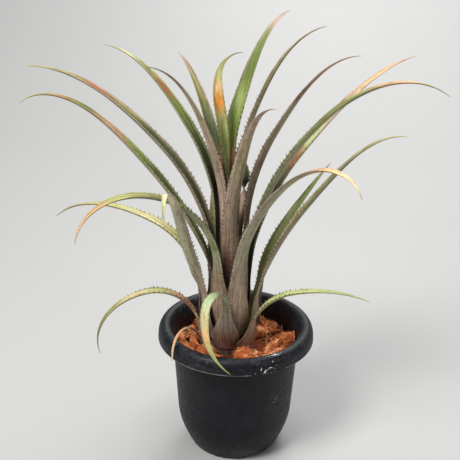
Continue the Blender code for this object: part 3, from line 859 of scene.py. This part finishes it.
def bed_height(x, y):
    """The top of the medium: banked up at the front, and sunk behind the plant on the right."""
    front = smoothstep(-10 * MM, -52 * MM, y)
    hollow = smoothstep(30 * MM, 5 * MM, math.hypot(x - 30 * MM, y - 22 * MM))
    lumps = noise.noise(Vector((x, y, 0.0)) / (9 * MM)) * 2.2 * MM
    crumbs = noise.noise(Vector((x, y, 1.0)) / (3.5 * MM)) * 0.9 * MM
    return BED_TOP - 1 * MM + front * BANK - hollow * HOLLOW + lumps + crumbs


def turned_by(about_z, about_y, about_x):
    turns = (about_z, "Z"), (about_y, "Y"), (about_x, "X")
    first, second, third = (Matrix.Rotation(angle, 3, axis) for angle, axis in turns)
    return first @ second @ third


def within_pot(point):
    """The same point, or the nearest place to it that is clear of the pot's wall."""
    reach, limit = math.hypot(point.x, point.y), BED_REACH
    if reach > limit:
        point.x, point.y = point.x * limit / reach, point.y * limit / reach
    return point


def shape_chunk(work, layers, centre, size, turn, shade, seed):
    """A torn chunk of husk: a rounded block, ragged at its ends and grooved along its fibres."""
    grain, tint = layers
    made = bmesh.ops.create_icosphere(work, subdivisions=4 if size[0] > FINE_CHUNK else 3, radius=1.0)
    offset = Vector((7.3 * seed, 1.9 * seed, 0.0))
    for vert in made["verts"]:
        p = vert.co.copy()
        block = Vector([math.copysign(abs(v) ** 0.72, v) for v in p])
        groove = noise.noise(Vector((p.x * 0.5, p.y * 4.2, p.z * 4.2)) + offset)
        torn = noise.noise(p * 2.1 + offset)
        split = noise.noise(Vector((p.x * 0.9, p.y * 9.0, p.z * 9.0)) + offset)
        lump = 1 + 0.26 * groove + 0.34 * torn + 0.24 * split
        end = block.x * (1 + 0.3 * groove)
        shaped = Vector((end * size[0], block.y * lump * size[1], block.z * lump * size[2]))
        vert.co = within_pot(centre + turn @ (shaped * 0.5))
        vert[grain] = (shaped.x / MM + 13 * seed, shaped.y / MM, shaped.z / MM)
        vert[tint] = shade


def chunk_fibres(rng, centre, size, turn, count):
    """Fibres that lie along a chunk's grain and lift off it at their ends, with a few that stand away."""
    paths = []
    for _ in range(count):
        loose = rng.random() < 0.4
        side = rng.uniform(-0.25, math.pi + 0.25)
        x = rng.uniform(-0.62, 0.3) * size[0]
        reach = rng.uniform(0.25, 0.6) * size[0]
        lift = rng.uniform(0.94, 1.06)
        drift = rng.gauss(0, 0.5 if loose else 0.22)
        rise = rng.uniform(0.2, 0.8) if loose else rng.uniform(0.02, 0.2)
        path = []
        for step in range(FIBRE_STEPS + 1):
            t = step / FIBRE_STEPS
            along = x + reach * t
            close = math.sqrt(max(0.25, 1 - (1.7 * along / size[0]) ** 2))
            out = (lift * close + rise * t * t) * 0.5
            turned = side + drift * t
            local = Vector((along, math.cos(turned) * size[1] * out, math.sin(turned) * size[2] * out))
            path.append(within_pot(centre + turn @ local))
        paths.append((path, rng.uniform(0.55, 1.3)))
    return paths


# ---- properties

def colour_property(name, description, value):
    return FloatVectorProperty(name=name, description=description, default=value, min=0, max=1,
                               subtype="COLOR")


def size_property(name, description, value, low, high):
    return FloatProperty(name=name, description=description, default=value, min=low, max=high, unit="LENGTH",
                         precision=5)


class BromeliadPot(bpy.types.PropertyGroup):
    """Sizes and colour of the pot."""

    plastic: colour_property("Plastic", "Colour of the moulded pot", srgb(11, 13, 18))
    steps: IntProperty(name="Steps", description="Faces round the pot", default=144, min=48, max=256)


class BromeliadMedium(bpy.types.PropertyGroup):
    """The husk chunks and fibres that the plant stands in."""

    # Ends of the husk's colour ramp: besides the husk's own colour, the deep end is painted shade in the
    # grooves and the bright end is painted highlight on the raised fibres.
    deep_and_shade: colour_property("Deep", "Husk colour in its grooves", srgb(84, 32, 14))
    mid: colour_property("Middle", "Husk colour over most of a chunk", srgb(226, 122, 62))
    bright: colour_property("Bright", "Husk colour on its torn fibres", srgb(255, 184, 122))
    loose: IntProperty(name="Loose chunks", description="Small chunks between the large ones", default=46,
                       min=0, max=120)
    fibre: size_property("Fibre", "Radius of a husk fibre", 0.27 * MM, 0.05 * MM, 0.5 * MM)


class BromeliadLeaves(bpy.types.PropertyGroup):
    """The teeth and finish of the leaves."""

    tooth_pitch: size_property("Tooth pitch", "From one tooth to the next", 4.2 * MM, 2 * MM, 12 * MM)
    tooth_length: size_property("Tooth length", "Length of the largest teeth", 2.4 * MM, 0.3 * MM, 4 * MM)
    toothed_share: FloatProperty(name="Toothed share", description="Share of a blade that has teeth",
                                 default=0.66, min=0, max=1, subtype="FACTOR")
    silver: colour_property("Scurf", "Colour of the silvery scurf", srgb(200, 190, 172))


class BromeliadStage(bpy.types.PropertyGroup):
    """Ground, lights and camera."""

    ground: colour_property("Ground", "Colour of the seamless ground", srgb(170, 170, 169))
    key: FloatProperty(name="Key light", description="Power of the key light", default=34.0, min=0,
                       subtype="POWER")
    distance: size_property("Camera distance", "From the camera to its target", 0.8, 0.2, 5)
    pitch: FloatProperty(name="Camera pitch", description="How far down the camera looks",
                         default=math.radians(23.3), subtype="ANGLE")


# ---- operators

class BROMELIAD_OT_pot(bpy.types.Operator):
    """Build the moulded pot"""

    bl_idname = "bromeliad.pot"
    bl_label = "Pot"

    def execute(self, context):
        sizes = context.scene.bromeliad_pot
        work = bmesh.new()
        turn_profile(work, pot_profile(), sizes.steps)
        plastic = plastic_material("black plastic", tuple(sizes.plastic))
        pot = add_piece("moulded_pot", work, plastic, ["pot"])
        cutter = drain_cutter()
        cut = pot.modifiers.new("drain", "BOOLEAN")
        cut.operation, cut.solver, cut.object = "DIFFERENCE", "EXACT", cutter
        context.view_layer.update()
        whole = bpy.data.meshes.new_from_object(pot.evaluated_get(context.evaluated_depsgraph_get()))
        pot.modifiers.clear()
        pot.data = whole
        bpy.data.objects.remove(cutter)
        whole.shade_smooth()
        whole.set_sharp_from_angle(angle=math.radians(38))
        return {"FINISHED"}


class BROMELIAD_OT_medium(bpy.types.Operator):
    """Build the bed of coir, its husk chunks and its loose fibres"""

    bl_idname = "bromeliad.medium"
    bl_label = "Medium"

    def execute(self, context):
        sizes = context.scene.bromeliad_medium
        rng = random.Random(11)
        deep_and_shade, mid, bright = tuple(sizes.deep_and_shade), tuple(sizes.mid), tuple(sizes.bright)
        husk = husk_material("coconut husk", deep_and_shade, mid, bright)
        coir = husk_material("coir dust", srgb(36, 16, 8), srgb(120, 56, 28), srgb(190, 104, 58), 0.8)
        fibre = strand_material("husk fibre", srgb(150, 70, 32), srgb(255, 190, 132))
        work = bmesh.new()
        inner = body_radius(BED_TOP) - WALL - 0.1 * MM
        rings = spaced(inner, 1.0 * MM, 46)
        profile = [(0.0, BED_FOOT), (inner, BED_FOOT)] + [(radius, BED_TOP) for radius in rings]
        turn_profile(work, profile + [(0.0, BED_TOP)], 140)
        grain, tint = husk_layers(work)
        for vert in work.verts:
            if vert.co.z > BED_TOP - MM:
                vert.co.z = bed_height(vert.co.x, vert.co.y)
            vert[grain] = vert.co / MM
            vert[tint] = BED_SHADE
        add_piece("coir_surface", work, coir, ["coir_bed"])
        strands = []
        chips = sorted(name for name in frame["nodes"] if name.startswith("husk_chip_"))
        for index, name in enumerate(chips):
            low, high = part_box(name)
            centre, extent = (low + high) / 2, high - low
            strands += self.chunk(rng, name.replace("chip", "chunk"), centre, extent, husk, [name], index)
        make_strands("husk_strands", strands, sizes.fibre, fibre)
        strands = self.loose_chunks(rng, sizes.loose, husk) + self.long_strands(rng)
        make_strands("loose_strands", strands, sizes.fibre, fibre)
        return {"FINISHED"}

    def chunk(self, rng, name, centre, extent, husk, stands_for, seed):
        work = bmesh.new()
        layers = husk_layers(work)
        spans = max(extent.x, extent.y), min(extent.x, extent.y), extent.z
        size = tuple(span * stretch for span, stretch in zip(spans, CHUNK_STRETCH))
        around = math.atan2(centre.y, centre.x) + math.radians(90 + rng.uniform(-40, 40))
        turn = turned_by(around, rng.uniform(-0.3, 0.3), rng.uniform(-0.5, 0.5))
        centre = Vector((centre.x, centre.y, bed_height(centre.x, centre.y) + size[2] * CHUNK_SUNK))
        shape_chunk(work, layers, centre, size, turn, 0.47 + rng.uniform(-0.16, 0.1), seed)
        add_piece(name, work, husk, stands_for)
        return chunk_fibres(rng, centre, size, turn, CHUNK_FIBRES)

    def loose_chunks(self, rng, count, husk):
        work = bmesh.new()
        layers = husk_layers(work)
        strands = []
        for index in range(count):
            around = rng.uniform(0, math.tau)
            out = mix(30 * MM, 55 * MM, rng.random() ** 0.7)
            x, y = out * math.cos(around), out * math.sin(around)
            if math.hypot(x - PLANT_X, y) < 29 * MM:
                continue
            size = (rng.uniform(7, 15) * MM, rng.uniform(4, 7.5) * MM, rng.uniform(3, 6) * MM)
            turn = turned_by(rng.uniform(0, math.tau), rng.uniform(-0.5, 0.5), rng.uniform(0, math.tau))
            centre = Vector((x, y, bed_height(x, y) + size[2] * rng.uniform(0.2, 0.9)))
            shape_chunk(work, layers, centre, size, turn, 0.5 + rng.uniform(-0.2, 0.14), 40 + index)
            strands += chunk_fibres(rng, centre, size, turn, CRUMB_FIBRES)
        add_piece("husk_crumbs", work, husk)
        return strands

    def long_strands(self, rng):
        """Long fibres that arch over the bed, most of them in the hollow on the right."""
        strands = []
        for index in range(LONG_FIBRES):
            right = index < LONG_ON_RIGHT
            around = rng.gauss(math.radians(20), 0.6) if right else rng.uniform(0, math.tau)
            out = rng.uniform(32, 54) * MM
            point = Vector((out * math.cos(around), out * math.sin(around), 0))
            point.z = bed_height(point.x, point.y) + rng.uniform(1, 5) * MM
            way = Vector((rng.gauss(0, 1), rng.gauss(0, 1), rng.uniform(0.1, 0.9))).normalized()
            path = []
            for _ in range(14):
                path.append(point.copy())
                way += Vector((rng.gauss(0, 0.12), rng.gauss(0, 0.12), -0.11 + rng.gauss(0, 0.08)))
                point = within_pot(point + way.normalized() * rng.uniform(1.3, 2.4) * MM)
                point.z = max(point.z, bed_height(point.x, point.y))
            strands.append((path, rng.uniform(0.6, 1.2)))
        return strands


class BROMELIAD_OT_leaves(bpy.types.Operator):
    """Build every leaf with its teeth, round the stock"""

    bl_idname = "bromeliad.leaves"
    bl_label = "Leaves"

    def execute(self, context):
        sizes = context.scene.bromeliad_leaves
        silver = tuple(sizes.silver)
        skins = {tint: leaf_material(tint + " leaf", silver, *looks) for tint, looks in SKINS.items()}
        paints = leaf_paints()
        for index, leaf in enumerate(LEAVES):
            work = shape_leaf(leaf, paints[leaf.name], sizes, index + 1)
            add_piece("blade_" + leaf.name, work, skins[leaf.tint],
                      ["leaf_" + leaf.name], sharp=60)
        return {"FINISHED"}


class BROMELIAD_OT_stock(bpy.types.Operator):
    """Finish the stock inside the sheaths"""

    bl_idname = "bromeliad.stock"
    bl_label = "Stock"

    def execute(self, context):
        g = Graph("woody stock")
        ridges = g.noise(g.place((260, 260, 60)), 4.0, 0.6)
        colour = g.blend(g.spread(ridges, 0.35, 0.65), srgb(50, 32, 24), srgb(96, 66, 48))
        stock = frame["nodes"]["stem_stock"]
        stock.data.materials.clear()
        stock.data.materials.append(g.finish(Base_Color=colour, Roughness=0.85,
                                             Normal=g.bump(ridges, 0.8 * MM, 0.8)))
        return {"FINISHED"}


class BROMELIAD_OT_stage(bpy.types.Operator):
    """Set the seamless ground, the soft lights and the camera"""

    bl_idname = "bromeliad.stage"
    bl_label = "Stage"

    def execute(self, context):
        sizes = context.scene.bromeliad_stage
        self.ground(sizes)
        for name, place, target, size, share, colour in LIGHTS:
            self.area(name, place, target, size, sizes.key * share, colour)
        world = bpy.data.worlds.new("studio")
        world.use_nodes = True
        background = world.node_tree.nodes["Background"].inputs
        background["Color"].default_value, background["Strength"].default_value = SKY, SKY_STRENGTH
        context.scene.world = world
        context.scene.view_settings.view_transform = "Standard"
        camera = linked("camera", bpy.data.cameras.new("camera"))
        camera.data.sensor_width = SENSOR
        camera.data.lens = LENS
        ahead = Vector((0.0, math.cos(sizes.pitch), -math.sin(sizes.pitch)))
        turn = facing(ahead) @ Matrix.Rotation(CAMERA_ROLL, 4, "Z")
        camera.matrix_world = Matrix.Translation(Vector(AIM) - ahead * sizes.distance) @ turn
        camera.data.dof.use_dof = False
        context.scene.camera = camera
        return {"FINISHED"}

    def ground(self, sizes):
        work = bmesh.new()
        profile = [(FLOOR_NEAR, 0.0), (FLOOR_FAR, 0.0)]
        profile += [(FLOOR_FAR + COVE * math.sin(a), COVE - COVE * math.cos(a))
                    for a in spaced(0.0, math.pi / 2, 24)[1:]]
        profile += [(FLOOR_FAR + COVE, WALL_TOP)]
        edges = polyline(work, [(-FLOOR_WIDTH / 2, y, z) for y, z in profile])[1]
        made = bmesh.ops.extrude_edge_only(work, edges=edges)
        far = [vert for vert in made["geom"] if isinstance(vert, bmesh.types.BMVert)]
        bmesh.ops.translate(work, vec=(FLOOR_WIDTH, 0, 0), verts=far)
        bmesh.ops.recalc_face_normals(work, faces=work.faces[:])
        if sum(face.normal.z for face in work.faces) < 0:
            bmesh.ops.reverse_faces(work, faces=work.faces[:])
        ground = object_of("seamless_ground", work)
        ground.data.shade_smooth()
        ground.data.materials.append(paper_material("pale paper", tuple(sizes.ground)))

    def area(self, name, place, target, size, power, colour):
        light = bpy.data.lights.new(name, "AREA")
        light.shape, light.size, light.energy, light.color = "SQUARE", size, power, colour
        turn = facing(Vector(target) - Vector(place))
        linked(name, light).matrix_world = Matrix.Translation(place) @ turn


class BROMELIAD_PT_panel(bpy.types.Panel):
    """Lists the sizes, and a button for each group of pieces"""

    bl_idname = "BROMELIAD_PT_panel"
    bl_label = "Potted bromeliad"
    bl_space_type = "VIEW_3D"
    bl_region_type = "UI"
    bl_category = "Bromeliad"

    def draw(self, context):
        for name, _ in GROUPS:
            box = self.layout.box()
            sizes = getattr(context.scene, "bromeliad_" + name, None)
            if sizes:
                for key in sizes.__annotations__:
                    box.prop(sizes, key)
            box.operator("bromeliad." + name)


# The groups of sizes and the buttons that use them, in the order that they are built.
GROUPS = (("pot", BromeliadPot), ("medium", BromeliadMedium), ("leaves", BromeliadLeaves), ("stock", None),
          ("stage", BromeliadStage))
CLASSES = [sizes for _, sizes in GROUPS if sizes] + [
    BROMELIAD_OT_pot, BROMELIAD_OT_medium, BROMELIAD_OT_leaves, BROMELIAD_OT_stock, BROMELIAD_OT_stage,
    BROMELIAD_PT_panel]


def register():
    for made in CLASSES:
        bpy.utils.register_class(made)
    for name, sizes in GROUPS:
        if sizes:
            setattr(bpy.types.Scene, "bromeliad_" + name, PointerProperty(type=sizes))


def unregister():
    for name, sizes in reversed(GROUPS):
        if sizes:
            delattr(bpy.types.Scene, "bromeliad_" + name)
    for made in reversed(CLASSES):
        bpy.utils.unregister_class(made)


def main():
    for made in list(bpy.context.scene.objects):
        if made.name in ("Cube", "Light", "Camera"):
            bpy.data.objects.remove(made)
    register()
    for name, _ in GROUPS:
        getattr(bpy.ops.bromeliad, name)()


if __name__ == "__main__":
    main()
